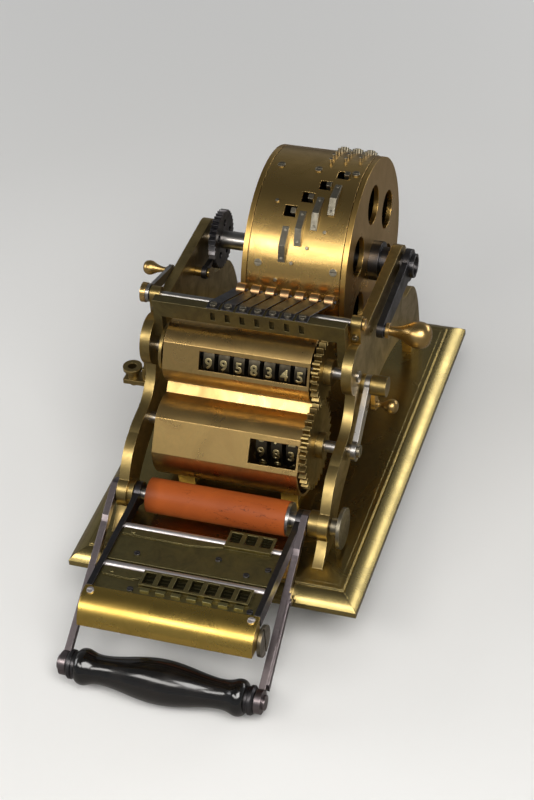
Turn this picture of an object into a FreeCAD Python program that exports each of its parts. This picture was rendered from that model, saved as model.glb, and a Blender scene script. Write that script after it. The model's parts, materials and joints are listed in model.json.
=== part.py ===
import FreeCAD, Part
import math
import os

# Printing pinwheel calculator of brass and steel, in millimetres.
# The origin is the middle of the underside of the base. +X is towards the crank, +Y is
# towards the number drum at the back and +Z is up. The printing frame hangs in front (-Y).

V = FreeCAD.Vector
X_AXIS = V(1, 0, 0)
Z_AXIS = V(0, 0, 1)

# Base and feet
base_width = 200.0
base_length = 306.0
base_band = 4.0
base_height = 12.0
moulding_width = 15.0
foot_height = 41.5
foot_r = 10.0
foot_inset_x = 26.0
foot_inset_y = 53.0
foot_x = base_width / 2 - foot_inset_x
foot_y = base_length / 2 - foot_inset_y

# Fits and clearances
running_gap = 0.05
seat_gap = 0.3
side_gap = 0.5

# Side frames
plate_t = 7.0
plate_left_inner = -71.0
plate_right_inner = 63.0
plate_left_outer = plate_left_inner - plate_t
plate_right_outer = plate_right_inner + plate_t
rail_top_z = 122.0
head_y = -29.5
head_z = 104.0
head_r = 17.5

# Number drum and its shaft
drum_y = 84.0
drum_z = 109.5
drum_r = 72.5
drum_left = -24.5
drum_right = 49.0
drum_wall = 3.0
drum_end_t = 3.5
drum_seam_w = 0.6
drum_shaft_r = 6.5
drum_hub_r = 14.0
bearing_r = 13.5
spider_hole_r = 14.0
spider_hole_pcr = 43.0
spider_holes = 6
spider_first_deg = 22.0

# Setting levers, their windows, the register pins and the screws of the drum
lever_count = 4
lever_first_x = 3.6
lever_pitch_x = 9.5
lever_first_deg = 141.0
lever_step_deg = -9.3
lever_w = 4.6
lever_out = 5.6
lever_edge_out = 1.9
rivet_r = 0.9
lever_half_deg = 9.5
window_ahead_deg = -18.5
window_w = 8.6
window_half_deg = 3.2
tab_w = 3.4
tab_out = 2.2
tab_half_deg = 1.5
pin_rows = 9
pin_columns = 3
pin_pitch_deg = 5.6
pin_first_deg = 84.0
pin_first_x = 19.0
pin_pitch_x = 9.5
pin_r = 1.2
pin_out = 3.3

# Ratchet wheel left of the drum, and its pawl
ratchet_root_r = 19.4
ratchet_tip_r = 21.4
ratchet_teeth = 36
ratchet_left = -66.0
ratchet_t = 5.0
pawl_y = 50.0
pawl_z = 104.0

# Crank
crank_left = 72.5
crank_t = 4.5
crank_half_w = 6.5
crank_r = 72.0
crank_deg = 182.0
crank_knob_l = 32.0

# Release rod above the registers, comb bar, leaf springs and copper rollers
rod_y = -15.5
rod_z = 131.5
rod_r = 2.5
ear_r = 5.4
comb_front_y = -33.0
comb_back_y = -26.0
comb_top_z = 139.5
comb_bottom_z = 127.0
comb_arm_w = 6.0
comb_arm_bottom_z = 110.0
comb_slot_w = 3.4
roller_count = 7
roller_pitch = 10.3
spring_first_x = -28.5
spring_shift_x = 9.0
spring_t = 0.8
spring_w = 8.4
detent_z = 131.5
detent_r = 4.5
detent_clear = 1.82
detent_reach = drum_r + lever_out + detent_r + detent_clear
detent_y = round(drum_y - math.sqrt(detent_reach ** 2 - (detent_z - drum_z) ** 2), 2)
detent_w = 5.8
detent_pin_r = 1.1

# Registers
upper_y = -31.0
upper_z = 99.5
lower_y = -56.5
lower_z = 56.5
cover_left = -60.0
cover_right = 42.5
cover_wall = 1.6
upper_cover_r = 22.5
upper_facet_deg = 156.0
upper_facet_d = 20.4
lower_cover_r = 29.0
lower_cover_y = -58.0
lower_cover_z = 48.5
lower_facet_deg = 147.0
lower_facet_d = 26.4
digit_pitch = 10.6
digit_first_x = -28.3
upper_digits = 7
lower_digits = 3
digit_w = 7.6
digit_r = 18.2
window_x0 = -34.5
window_x1 = 41.0
window_lower_x0 = 7.6
upper_window_h = 13.0
lower_window_h = 16.5
register_shaft_r = 4.0
upper_teeth = 23
lower_teeth = 32
gear_left = 43.6
gear_t = 5.0
gear_backlash = 0.5

# Pivot of the printing frame, and the impression roller on it
pivot_y = -103.0
pivot_z = 29.0
pivot_r = 4.0
roller_r = 12.0
roller_left = -57.0
roller_right = 41.0
roller_cap_l = 2.0
boss_r = 9.0
thumb_r = 14.0
thumb_t = 2.4

# Outer arms and the turned handle
arm_t = 4.5
arm_h = 5.9
arm_clear = 2.4
arm_eye_r = 8.0
arm_left_x = plate_left_outer - 5.0
arm_right_x = 51.0
handle_y = -216.0
handle_z = -25.0
handle_r = 15.0
handle_rod_r = 3.0
handle_left = arm_left_x + arm_t + 0.5
handle_right = arm_right_x - 0.5
ferrule_l = 6.0

# Inner bars, rods, type plates and the rounded front cover
inner_t = 4.0
inner_left_x = -66.6
inner_right_x = arm_right_x - inner_t
inner_bottom_z = 24.0
inner_top_z = 33.0
inner_front_y = -197.0
frame_rod_r = 2.8
back_rod_y = -136.0
middle_rod_y = -172.5
frame_rod_z = 28.8
type_plate_t = 3.0
type_plate_z = 28.0
cell_frame_t = 2.8
rod_cover_z = 32.0
plate_a_back_y = -139.4
plate_a_front_y = -169.0
plate_b_back_y = -176.0
plate_b_front_y = -196.6
cell_w = 7.4
front_r = 19.0
front_wall = 2.0
front_y = -199.0
front_z = 13.5
front_left = -67.0
front_right = inner_right_x + inner_t
front_span_deg = 172.0
disc_r = 10.5
disc_t = 2.6


def box(x0, x1, y0, y1, z0, z1):
    return Part.makeBox(x1 - x0, y1 - y0, z1 - z0, V(x0, y0, z0))


def rod_x(x0, x1, y, z, r):
    return Part.makeCylinder(r, x1 - x0, V(x0, y, z), X_AXIS)


def tube_x(x0, x1, y, z, r, bore):
    return rod_x(x0, x1, y, z, r).cut(rod_x(x0 - 1, x1 + 1, y, z, bore))


def line(a, b):
    return Part.LineSegment(V(0, *a), V(0, *b)).toShape()


def arc(a, m, b):
    return Part.Arc(V(0, *a), V(0, *m), V(0, *b)).toShape()


def curve(points):
    spline = Part.BSplineCurve()
    spline.interpolate([V(0, y, z) for y, z in points])
    return spline.toShape()


def on_circle(y, z, r, deg):
    a = math.radians(deg)
    return (y + r * math.cos(a), z + r * math.sin(a))


def plate_x(edges, x0, thickness):
    """A flat plate cut to an outline of edges given in the plane X = 0."""
    wire = Part.Wire(Part.__sortEdges__(edges))
    solid = Part.Face(wire).extrude(V(thickness, 0, 0))
    solid.translate(V(x0, 0, 0))
    return solid


def polygon_x(points, x0, thickness):
    edges = [line(a, b) for a, b in zip(points, points[1:] + points[:1])]
    return plate_x(edges, x0, thickness)


def sector_x(x0, x1, y, z, r_in, r_out, deg0, deg1):
    """A ring sector about an axis along X; angles run from +Y towards +Z."""
    mid = (deg0 + deg1) / 2
    edges = [
        arc(on_circle(y, z, r_out, deg0), on_circle(y, z, r_out, mid), on_circle(y, z, r_out, deg1)),
        arc(on_circle(y, z, r_in, deg0), on_circle(y, z, r_in, mid), on_circle(y, z, r_in, deg1)),
        line(on_circle(y, z, r_in, deg0), on_circle(y, z, r_out, deg0)),
        line(on_circle(y, z, r_in, deg1), on_circle(y, z, r_out, deg1))]
    return plate_x(edges, x0, x1 - x0)


def turned(outline, y, z):
    """A piece turned about X: outline holds (x, radius) corners, and runs of three or
    more corners grouped in a tuple of tuples are joined by a smooth curve."""
    edges = []
    last = V(outline[0][0] if not isinstance(outline[0][0], tuple) else outline[0][0][0], y, z)
    first = last
    for item in outline:
        smooth = isinstance(item[0], tuple)
        run = item if smooth else (item,)
        start = V(run[0][0], y, z + run[0][1])
        if last.distanceToPoint(start) > 1e-6:
            edges.append(Part.LineSegment(last, start).toShape())
        last = start
        if smooth:
            spline = Part.BSplineCurve()
            spline.interpolate([V(x, y, z + r) for x, r in run])
            edges.append(spline.toShape())
            last = V(run[-1][0], y, z + run[-1][1])
    end = V(last.x, y, z)
    edges.append(Part.LineSegment(last, end).toShape())
    edges.append(Part.LineSegment(end, first).toShape())
    wire = Part.Wire(Part.__sortEdges__(edges))
    return Part.Face(wire).revolve(V(0, y, z), X_AXIS, 360)


def fuse(shapes):
    return shapes[0].multiFuse(shapes[1:]).removeSplitter()


def group(solids):
    return Part.makeCompound(solids)


def turn_drum(shape, deg):
    """Turn a shape about the drum axis, from +Y towards +Z."""
    copy = shape.copy()
    copy.rotate(V(0, drum_y, drum_z), X_AXIS, deg)
    return copy


def put(node, shape):
    shape.exportStep("parts/" + node + ".step")
    print(node, len(shape.Solids), "solids", round(shape.Volume), "mm3", shape.isValid())


def screw(centre, normal, r, head_t):
    """A cheese-head screw with its slot, standing on centre along normal."""
    head = Part.makeCylinder(r, head_t, V(0, 0, 0), Z_AXIS)
    slot = Part.makeBox(2 * r, 0.3 * r, head_t, V(-r, -0.15 * r, head_t * 0.45))
    head = head.cut(slot)
    turn = FreeCAD.Rotation(Z_AXIS, normal)
    head.Placement = FreeCAD.Placement(centre, turn)
    return head


os.makedirs("parts", exist_ok=True)


# Base: a flat plate inside four mitred lengths of moulding, on four turned feet
def moulding_face():
    """Cross-section of the rim: a band, a broad swell, a groove and a flat beside the plate."""
    w = moulding_width
    top = base_height
    brow = base_height - 1.4
    corners = [V(0, 0, 0), V(0, 0, base_band), V(0, w * 0.66, brow), V(0, w * 0.74, brow),
               V(0, w * 0.78, top), V(0, w, top), V(0, w, 0)]
    swell = V(0, w * 0.26, base_band + (brow - base_band) * 0.56)
    edges = [Part.Arc(corners[1], swell, corners[2]).toShape()]
    for k in (0, 2, 3, 4, 5, 6):
        edges.append(Part.LineSegment(corners[k], corners[(k + 1) % 7]).toShape())
    return Part.Face(Part.Wire(Part.__sortEdges__(edges)))


def moulding_side(length, reach):
    """One mitred length lying along X, its band facing -Y."""
    bar = moulding_face().extrude(V(length, 0, 0))
    w = moulding_width
    for x_end, way in ((0, 1), (length, -1)):
        corners = [V(x_end, 0, -1), V(x_end + way * 2 * w, 2 * w, -1), V(x_end - way, 2 * w, -1),
                   V(x_end - way, 0, -1), V(x_end, 0, -1)]
        wedge = Part.Face(Part.makePolygon(corners)).extrude(V(0, 0, base_height + 2))
        bar = bar.cut(wedge)
    bar.translate(V(-length / 2, -reach, 0))
    return bar


def base_moulding():
    sides = []
    for k in range(4):
        length, across = (base_width, base_length) if k % 2 == 0 else (base_length, base_width)
        side = moulding_side(length, across / 2)
        side.rotate(V(0, 0, 0), Z_AXIS, 90 * k)
        sides.append(side)
    return group(sides)


def base_feet():
    h = foot_height
    outline = [V(0, 0, 0), V(foot_r, 0, 0), V(foot_r, 0, -5), V(foot_r * 0.6, 0, -9),
               V(foot_r * 0.6, 0, 12 - h), V(foot_r, 0, 6 - h), V(foot_r, 0, -h), V(0, 0, -h),
               V(0, 0, 0)]
    feet = []
    for x in (-foot_x, foot_x):
        for y in (-foot_y, foot_y):
            foot = Part.Face(Part.makePolygon(outline)).revolve(V(0, 0, 0), Z_AXIS, 360)
            foot.translate(V(x, y, 0))
            feet.append(foot)
    return group(feet)


inner_x = base_width / 2 - moulding_width
inner_y = base_length / 2 - moulding_width
put("base_plate", box(-inner_x, inner_x, -inner_y, inner_y, 0, base_height))
put("base_moulding", base_moulding())
put("base_feet", base_feet())


# Side frames: ogee front leg, round head, level rail, drum bearing and lobed back leg
crown_y = rod_y - ear_r
crown_z = head_z + math.sqrt(head_r ** 2 - (crown_y - head_y) ** 2)
ear_back_y = rod_y + ear_r


def side_frame(x0):
    crown = (crown_y, crown_z)
    rail_start = (ear_back_y, rail_top_z)
    bearing_top = (drum_y, drum_z + bearing_r)
    bearing_back = on_circle(drum_y, drum_z, bearing_r, -35)
    knee = (-80.0, 61.6)
    neck = on_circle(head_y, head_z, head_r, 240)
    notch = (85.5, 78.0)
    toe = (-127.0, base_height)
    toe_in = (-99.0, base_height)
    heel = (133.0, base_height)
    heel_in = (107.0, base_height)
    arch_back = (84.0, 46.0)
    arch_front = (-50.0, 46.0)
    edges = [
        curve([toe, (-120.0, 16.5), (-110.0, 28.5), (-104.0, 40.5), (-97.5, 50.0), knee]),
        curve([knee, (-68.0, 65.4), (-55.0, 68.2), (-45.0, 75.5), neck]),
        arc(neck, (head_y - head_r, head_z), crown),
        line(crown, rail_start),
        line(rail_start, bearing_top),
        arc(bearing_top, on_circle(drum_y, drum_z, bearing_r, 30), bearing_back),
        curve([bearing_back, (88.5, 89.5), notch]),
        curve([notch, (97.0, 73.0), (111.0, 70.0), (122.0, 59.0), (130.0, 34.0), heel]),
        line(heel, heel_in),
        curve([heel_in, (102.0, 31.0), arch_back]),
        arc(arch_back, (17.0, 60.0), arch_front),
        curve([arch_front, (-74.0, 36.0), (-90.0, 24.5), toe_in]),
        line(toe_in, toe)]
    plate = plate_x(edges, x0, plate_t)
    pad = rod_x(x0, x0 + plate_t, pivot_y, pivot_z, boss_r + 2)
    plate = fuse([plate, pad])
    holes = [(drum_y, drum_z, drum_shaft_r), (upper_y, upper_z, register_shaft_r),
             (lower_y, lower_z, register_shaft_r), (pivot_y, pivot_z, pivot_r)]
    for y, z, r in holes:
        plate = plate.cut(rod_x(x0 - 1, x0 + plate_t + 1, y, z, r + running_gap))
    return plate


put("left_side_frame", side_frame(plate_left_outer))
put("right_side_frame", side_frame(plate_right_inner))


# Ears that carry the release rod above the two heads
def rod_ear(x0):
    side = ear_r
    top = (rod_y, rod_z + side)
    edges = [line((crown_y, crown_z), (crown_y, rod_z)), arc((crown_y, rod_z), top, (ear_back_y, rod_z)),
             line((ear_back_y, rod_z), (ear_back_y, rail_top_z)),
             line((ear_back_y, rail_top_z), (crown_y, crown_z))]
    ear = plate_x(edges, x0, plate_t)
    return ear.cut(rod_x(x0 - 1, x0 + plate_t + 1, rod_y, rod_z, rod_r + running_gap))


rod_ears = [rod_ear(plate_left_outer), rod_ear(plate_right_inner)]
frame_screws = []
for x0 in (plate_left_outer, plate_right_inner):
    frame_screws.append(screw(V(x0 + plate_t / 2, crown_y, 123.8), V(0, -1, 0), 2.2, 1.4))


# Release rod with its end caps and the small lever on its left end
lever_x = plate_left_outer - side_gap
rod = rod_x(lever_x - 6.5, plate_right_outer + 2.0, rod_y, rod_z, rod_r)
left_cap = tube_x(lever_x - 6.0, lever_x - 2.5, rod_y, rod_z, 6.8, rod_r)
right_cap = tube_x(plate_right_outer + side_gap, plate_right_outer + 2.0, rod_y, rod_z, 4.2, rod_r)
lever_end_y = 25.0
lever_end_z = 121.0
lever_eye = rod_x(lever_x - 2.5, lever_x, rod_y, rod_z, 6.2)
lever_tip = rod_x(lever_x - 2.5, lever_x, lever_end_y, lever_end_z, 4.2)
lever_bar = polygon_x([(rod_y, rod_z - 4.0), (rod_y, rod_z + 4.6), (lever_end_y, lever_end_z + 3.8),
                       (lever_end_y, lever_end_z - 3.6)], lever_x - 2.5, 2.5)
put("release_rod", fuse([rod, lever_eye, lever_tip, lever_bar]))
knob_x = lever_x - 2.5
small_knob = turned([(knob_x, 2.6), (knob_x - 1.6, 2.6),
                     ((knob_x - 1.6, 1.8), (knob_x - 5.0, 2.0), (knob_x - 9.0, 3.2),
                      (knob_x - 13.0, 5.0), (knob_x - 16.6, 4.4), (knob_x - 18.4, 1.6))],
                    lever_end_y, lever_end_z)
put("release_knob", group([small_knob, left_cap, right_cap]))


# Comb bar bridging the side frames, with a slot under each leaf spring
comb = box(plate_left_inner, plate_right_inner, comb_front_y, comb_back_y, comb_bottom_z, comb_top_z)
arm_a = box(plate_left_inner, plate_left_inner + comb_arm_w, comb_front_y, comb_back_y,
            comb_arm_bottom_z, comb_bottom_z)
arm_b = box(plate_right_inner - comb_arm_w, plate_right_inner, comb_front_y, comb_back_y,
            comb_arm_bottom_z, comb_bottom_z)
comb = fuse([comb, arm_a, arm_b])
spring_xs = [spring_first_x + k * roller_pitch for k in range(roller_count)]
for x in spring_xs:
    comb = comb.cut(box(x - comb_slot_w / 2, x + comb_slot_w / 2, comb_front_y - 1, comb_front_y + 2.5,
                        comb_bottom_z + 3, comb_top_z - 3))
put("comb_bar", comb)


# Leaf springs: a screwed pad, a slanting blade and a fork that holds a copper roller
def leaf_spring(x):
    half = spring_w / 2
    start = V(x, comb_back_y, comb_top_z)
    end = V(x + spring_shift_x, detent_y + 1.5, detent_z - 0.4)
    pad = box(x - half, x + half, comb_front_y, comb_back_y, comb_top_z, comb_top_z + spring_t)
    corners = [start + V(-half, 0, 0), start + V(half, 0, 0), end + V(half, 0, 0), end + V(-half, 0, 0)]
    blade = Part.Face(Part.makePolygon(corners + corners[:1])).extrude(V(0, 0, spring_t))
    leaf = fuse([pad, blade])
    x_mid = x + spring_shift_x
    mouth = detent_w / 2 + 0.4
    leaf = leaf.cut(box(x_mid - mouth, x_mid + mouth, detent_y - detent_r - 0.8, detent_y + 9,
                        detent_z - 8, detent_z + 8))
    pin = rod_x(x_mid - half, x_mid + half, detent_y, detent_z, detent_pin_r)
    return fuse([leaf, pin])


springs = []
for x in spring_xs:
    springs.append(leaf_spring(x))
    mid_y = (comb_front_y + comb_back_y) / 2
    frame_screws.append(screw(V(x, mid_y, comb_top_z + spring_t), Z_AXIS, 2.4, 1.5))
put("leaf_springs", group(springs))
for k, x in enumerate(spring_xs):
    x_mid = x + spring_shift_x
    wheel = tube_x(x_mid - detent_w / 2, x_mid + detent_w / 2, detent_y, detent_z, detent_r,
                   detent_pin_r + running_gap)
    put("copper_roller_" + str(k + 1), wheel)


# Number drum: a shell between two end rings, pierced by a window above each lever
drum_body_left = drum_left + drum_end_t + drum_seam_w
drum_body_right = drum_right - drum_end_t - drum_seam_w
shell = tube_x(drum_body_left, drum_body_right, drum_y, drum_z, drum_r, drum_r - drum_wall)
lever_xs = [lever_first_x + k * lever_pitch_x for k in range(lever_count)]
lever_degs = [lever_first_deg + k * lever_step_deg for k in range(lever_count)]
tabs = []
for x, deg in zip(lever_xs, lever_degs):
    w_deg = deg + window_ahead_deg
    shell = shell.cut(sector_x(x - window_w / 2, x + window_w / 2, drum_y, drum_z, drum_r - drum_wall - 1,
                               drum_r + 1, w_deg - window_half_deg, w_deg + window_half_deg))
    tabs.append(sector_x(x + window_w / 2 - tab_w, x + window_w / 2, drum_y, drum_z, drum_r - 2.5,
                         drum_r + tab_out, w_deg - tab_half_deg, w_deg + tab_half_deg))


def drum_end(x0):
    disc = tube_x(x0, x0 + drum_end_t, drum_y, drum_z, drum_r, drum_shaft_r)
    for k in range(spider_holes):
        y, z = on_circle(drum_y, drum_z, spider_hole_pcr, spider_first_deg + 360 / spider_holes * k)
        disc = disc.cut(rod_x(x0 - 1, x0 + drum_end_t + 1, y, z, spider_hole_r))
    return disc


def drum_spigot(x0, x1):
    """Ring set inside the end of the shell, which the end disc is screwed to."""
    return tube_x(x0, x1, drum_y, drum_z, drum_r - drum_wall, drum_r - drum_wall - 4)


left_end = fuse([drum_end(drum_left), drum_spigot(drum_left + drum_end_t, drum_body_left + 5)])
right_end = fuse([drum_end(drum_right - drum_end_t),
                  drum_spigot(drum_body_right - 5, drum_right - drum_end_t)])
put("drum_ends", group([left_end, right_end]))
shaft_left = plate_left_outer - 2.0
shaft_right = crank_left + crank_t + 1.0
hub_step_x = drum_right + 7
right_hub = fuse([tube_x(drum_right, hub_step_x, drum_y, drum_z, drum_hub_r, drum_shaft_r),
                  tube_x(hub_step_x, plate_right_inner - side_gap, drum_y, drum_z, drum_hub_r * 0.75,
                         drum_shaft_r)])
left_hub = tube_x(drum_left - 6, drum_left, drum_y, drum_z, drum_hub_r, drum_shaft_r)
put("drum_shaft", rod_x(shaft_left, shaft_right, drum_y, drum_z, drum_shaft_r))

# Screws round the drum and the rows of register pins beside the levers
pins = []
for c in range(pin_columns):
    for k in range(pin_rows):
        deg = pin_first_deg - k * pin_pitch_deg - c * 3.0
        pin = Part.makeCylinder(pin_r, pin_out + 1.0, V(pin_first_x + c * pin_pitch_x, drum_y,
                                                        drum_z + drum_r - 1.0), Z_AXIS)
        pins.append(turn_drum(pin, deg - 90))
for x, deg in ((10.4, 150.5), (19.9, 141.5), (30.4, 132.0), (0.2, 160.5), (-7.0, 117.6)):
    pin = Part.makeCylinder(pin_r, 2.4, V(x, drum_y, drum_z + drum_r - 1.0), Z_AXIS)
    pins.append(turn_drum(pin, deg - 90))
shell = shell.cut(group(pins))
put("drum_shell", shell)
drum_screws = []
for k in range(6):
    for x in (-12.9, 13.5, 40.0):
        if k == 0 or x != 13.5:
            head = screw(V(x, drum_y, drum_z + drum_r), Z_AXIS, 2.6, 0.9)
            drum_screws.append(turn_drum(head, 2.4 + 60 * k))
put("drum_pins", group(pins + tabs + drum_screws))

# Setting levers: a steel plate bent like a low gable, with a rivet near each end
def setting_lever(x, deg):
    low = drum_r + lever_edge_out
    profile = [on_circle(drum_y, drum_z, drum_r - 2, deg - lever_half_deg),
               on_circle(drum_y, drum_z, low, deg - lever_half_deg),
               on_circle(drum_y, drum_z, drum_r + lever_out, deg + 1.0),
               on_circle(drum_y, drum_z, low, deg + lever_half_deg),
               on_circle(drum_y, drum_z, drum_r - 2, deg + lever_half_deg)]
    plate = polygon_x(profile, x - lever_w / 2, lever_w)
    rivets = []
    for side in (-1, 1):
        rivet = Part.makeCylinder(rivet_r, 4.0, V(x, drum_y, drum_z + drum_r - 1.0), Z_AXIS)
        rivets.append(turn_drum(rivet, deg + side * (lever_half_deg - 2.0) - 90))
    return fuse([plate] + rivets).cut(rod_x(x - lever_w, x + lever_w, drum_y, drum_z, drum_r + seat_gap))


for k in range(lever_count):
    put("setting_lever_" + str(k + 1), setting_lever(lever_xs[k], lever_degs[k]))


# Ratchet wheel on the drum shaft and the pawl that rides it
def ratchet():
    points = []
    step = 360 / ratchet_teeth
    for k in range(ratchet_teeth):
        points.append(on_circle(drum_y, drum_z, ratchet_root_r, k * step))
        points.append(on_circle(drum_y, drum_z, ratchet_tip_r, k * step + step * 0.85))
    wheel = polygon_x(points, ratchet_left, ratchet_t)
    wheel = wheel.cut(rod_x(ratchet_left - 1, ratchet_left + ratchet_t + 1, drum_y, drum_z, drum_shaft_r))
    for k in range(5):
        y, z = on_circle(drum_y, drum_z, 12.3, 72 * k)
        wheel = wheel.cut(rod_x(ratchet_left - 1, ratchet_left + ratchet_t + 1, y, z, 2.6))
    return wheel


put("ratchet_wheel", ratchet())
pawl_tip = on_circle(drum_y, drum_z, ratchet_tip_r + 0.35, 187.0)
pawl_low = on_circle(drum_y, drum_z, ratchet_tip_r + 1.2, 193.0)
pawl_body = polygon_x([(pawl_y, pawl_z + 3.6), pawl_tip, pawl_low, (pawl_y, pawl_z - 3.6)],
                      ratchet_left, 3.5)
pawl = fuse([pawl_body, rod_x(ratchet_left, ratchet_left + 3.5, pawl_y, pawl_z, 4.6)])
pawl = pawl.cut(rod_x(ratchet_left - 1, ratchet_left + 5, pawl_y, pawl_z, 2.0 + running_gap))
put("pawl", pawl)
stud = rod_x(plate_left_inner, ratchet_left + 4.0, pawl_y, pawl_z, 2.0)
stud = fuse([stud, rod_x(plate_left_inner, ratchet_left - side_gap, pawl_y, pawl_z, 3.4),
             rod_x(ratchet_left + 4.0, ratchet_left + 5.4, pawl_y, pawl_z, 3.4)])
pawl_stud = stud


# Crank arm, hub and turned knob
crank_end = on_circle(drum_y, drum_z, crank_r, crank_deg)
crank_tan = on_circle(0, 0, 1, crank_deg + 90)


def crank_side(base, half):
    return (base[0] + crank_tan[0] * half, base[1] + crank_tan[1] * half)


hub_at = (drum_y, drum_z)
arm_pts = [crank_side(hub_at, crank_half_w + 2), crank_side(hub_at, -crank_half_w - 2),
           crank_side(crank_end, -crank_half_w + 0.8), crank_side(crank_end, crank_half_w - 0.8)]
crank = fuse([polygon_x(arm_pts, crank_left, crank_t),
              rod_x(crank_left, crank_left + crank_t, crank_end[0], crank_end[1], crank_half_w - 0.8),
              rod_x(crank_left, crank_left + crank_t, drum_y, drum_z, 11.5)])
crank = crank.cut(rod_x(crank_left - 1, crank_left + crank_t + 1, drum_y, drum_z, drum_shaft_r))
crank_nut = tube_x(crank_left + crank_t, crank_left + crank_t + 3.2, drum_y, drum_z, 8.6, drum_shaft_r)
spacer = tube_x(plate_right_outer + side_gap, crank_left, drum_y, drum_z, 9.0, drum_shaft_r)
pin_x0 = crank_left + crank_t
crank_pin = fuse([rod_x(pin_x0, pin_x0 + crank_knob_l - 2.6, crank_end[0], crank_end[1], 2.2),
                  rod_x(pin_x0, pin_x0 + 1.2, crank_end[0], crank_end[1], 4.8)])
put("crank_arm", group([fuse([crank, crank_pin]), crank_nut, spacer, right_hub, left_hub]))
k0 = pin_x0 + 1.5
kl = crank_knob_l
knob = turned([(k0, 5.4), (k0 + 2.2, 5.4), ((k0 + 2.2, 3.4), (k0 + 5.0, 3.5), (k0 + 11.0, 5.2),
               (k0 + 18.0, 8.5), (k0 + 23.5, 9.2), (k0 + 28.5, 7.4), (k0 + kl - 1.2, 3.2)),
               (k0 + kl - 0.8, 2.0)], crank_end[0], crank_end[1])
knob = knob.cut(rod_x(k0 - 1, pin_x0 + crank_knob_l - 2.3, crank_end[0], crank_end[1], 2.2 + running_gap))
put("crank_knob", knob)


# Register housing: one bent sheet round both registers, with a flat over each window
def facet_cut(x0, x1, y, z, deg, distance):
    """A block that removes everything beyond the flat of a register."""
    block = box(x0 - 1, x1 + 1, distance, distance + 20, -30, 30)
    block.rotate(V(0, 0, 0), X_AXIS, deg)
    block.translate(V(0, y, z))
    return block


def housing_body(x0, x1, inset):
    """Both covers and the narrow web between them, shrunk all round by inset."""
    upper = rod_x(x0, x1, upper_y, upper_z, upper_cover_r - inset)
    upper = upper.cut(facet_cut(x0, x1, upper_y, upper_z, upper_facet_deg, upper_facet_d - inset))
    lower = rod_x(x0, x1, lower_cover_y, lower_cover_z, lower_cover_r - inset)
    lower = lower.cut(facet_cut(x0, x1, lower_cover_y, lower_cover_z, lower_facet_deg,
                                lower_facet_d - inset))
    front_top = on_circle(upper_y + inset, upper_z, upper_cover_r, 230.0)
    front_low = on_circle(lower_cover_y + inset, lower_cover_z, lower_cover_r, 75.0)
    back_low = on_circle(lower_cover_y - inset, lower_cover_z, lower_cover_r, 20.0)
    back_top = on_circle(upper_y - inset, upper_z, upper_cover_r, 340.0)
    web = polygon_x([front_top, front_low, back_low, back_top], x0, x1 - x0)
    return fuse([upper, lower, web])


housing = housing_body(cover_left, cover_right, 0)
housing = housing.cut(housing_body(cover_left + cover_wall, cover_right + 1, cover_wall))


def window(x0, x1, y, z, deg, distance, height):
    """The opening of a register window, square to the flat of the housing."""
    cut = box(x0, x1, distance - 4, distance + 4, -height / 2, height / 2)
    cut.rotate(V(0, 0, 0), X_AXIS, deg)
    cut.translate(V(0, y, z))
    return cut


housing = housing.cut(window(window_x0, window_x1, upper_y, upper_z, upper_facet_deg, upper_facet_d,
                             upper_window_h))
housing = housing.cut(window(window_lower_x0, window_x1, lower_cover_y, lower_cover_z, lower_facet_deg,
                             lower_facet_d, lower_window_h))
for y, z in ((upper_y, upper_z), (lower_y, lower_z)):
    housing = housing.cut(rod_x(cover_left - 1, cover_left + 3, y, z, register_shaft_r + 1.0))
put("register_housing", housing)
saddles = []
for x in (-50.0, 24.0):
    block = box(x, x + 12, lower_cover_y - 11, lower_cover_y + 11, base_height, 27)
    saddles.append(block.cut(rod_x(x - 1, x + 13, lower_cover_y, lower_cover_z, lower_cover_r + seat_gap)))


# Digit wheels, shafts and the pair of gears that links the registers
digit_xs = [digit_first_x + k * digit_pitch for k in range(upper_digits)]
for k, x in enumerate(digit_xs):
    wheel = tube_x(x - digit_w / 2, x + digit_w / 2, upper_y, upper_z, digit_r,
                   register_shaft_r + running_gap)
    put("upper_digit_wheel_" + str(k + 1), wheel)
for k, x in enumerate(digit_xs[upper_digits - lower_digits:]):
    wheel = tube_x(x - digit_w / 2, x + digit_w / 2, lower_y, lower_z, digit_r,
                   register_shaft_r + running_gap)
    put("lower_digit_wheel_" + str(k + 1), wheel)

centre_distance = math.hypot(upper_y - lower_y, upper_z - lower_z)
centre_deg = math.degrees(math.atan2(lower_z - upper_z, lower_y - upper_y))
gear_module = 2 * centre_distance / (upper_teeth + lower_teeth)


def gear(y, z, teeth, phase_deg):
    """A spur gear whose first tooth points along phase_deg."""
    pitch_r = gear_module * teeth / 2
    root_r = pitch_r - 1.2 * gear_module
    tip_r = pitch_r + 0.9 * gear_module
    root_half = (math.pi * gear_module * 0.36) / root_r
    pitch_half = (math.pi * gear_module * 0.25 - gear_backlash / 4) / pitch_r
    tip_half = (math.pi * gear_module * 0.12) / tip_r
    points = []
    for k in range(teeth):
        mid = phase_deg + 360 / teeth * k
        for r, half in ((root_r, -root_half), (pitch_r, -pitch_half), (tip_r, -tip_half),
                        (tip_r, tip_half), (pitch_r, pitch_half), (root_r, root_half)):
            points.append(on_circle(y, z, r, mid + math.degrees(half)))
    wheel = polygon_x(points, gear_left, gear_t)
    hub = rod_x(gear_left + gear_t, gear_left + gear_t + 5, y, z, 9.0)
    return fuse([wheel, hub]).cut(rod_x(gear_left - 1, gear_left + gear_t + 6, y, z, register_shaft_r))


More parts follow.
